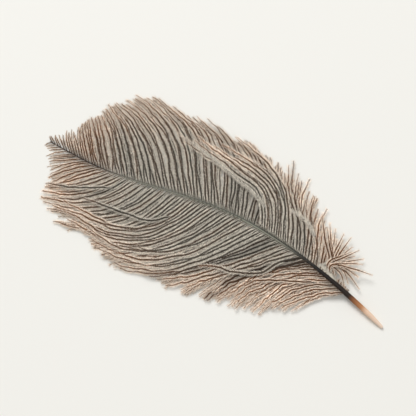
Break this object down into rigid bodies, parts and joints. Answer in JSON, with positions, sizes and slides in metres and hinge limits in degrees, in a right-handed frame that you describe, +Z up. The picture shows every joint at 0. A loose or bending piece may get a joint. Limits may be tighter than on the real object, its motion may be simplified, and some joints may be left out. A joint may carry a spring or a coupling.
{
  "type": "ostrich feather",
  "caption": "Soft drooping plume of loose dark-shafted barbs on a slim curved shaft with a short bare quill; decorates hats, costumes and displays, shown lying flat.",
  "frame": {"origin": "middle of the feather's outline, on the surface that it lies on", "axes": "+X from the quill's end towards the tip, +Y to the feather's left as it lies upper side up, +Z up"},
  "size_m": [0.2007, 0.0992, 0.0055],
  "materials": {
    "vane": "matt grey-brown down: dark slate barb shafts, pale greige fringes and warm brown ends",
    "quill": "smooth horn, slate grey to black-brown, turning amber and then pale peach at the bare quill"
  },
  "bodies": {
    "root": {"feather": "vane"}
  },
  "joints": []
}
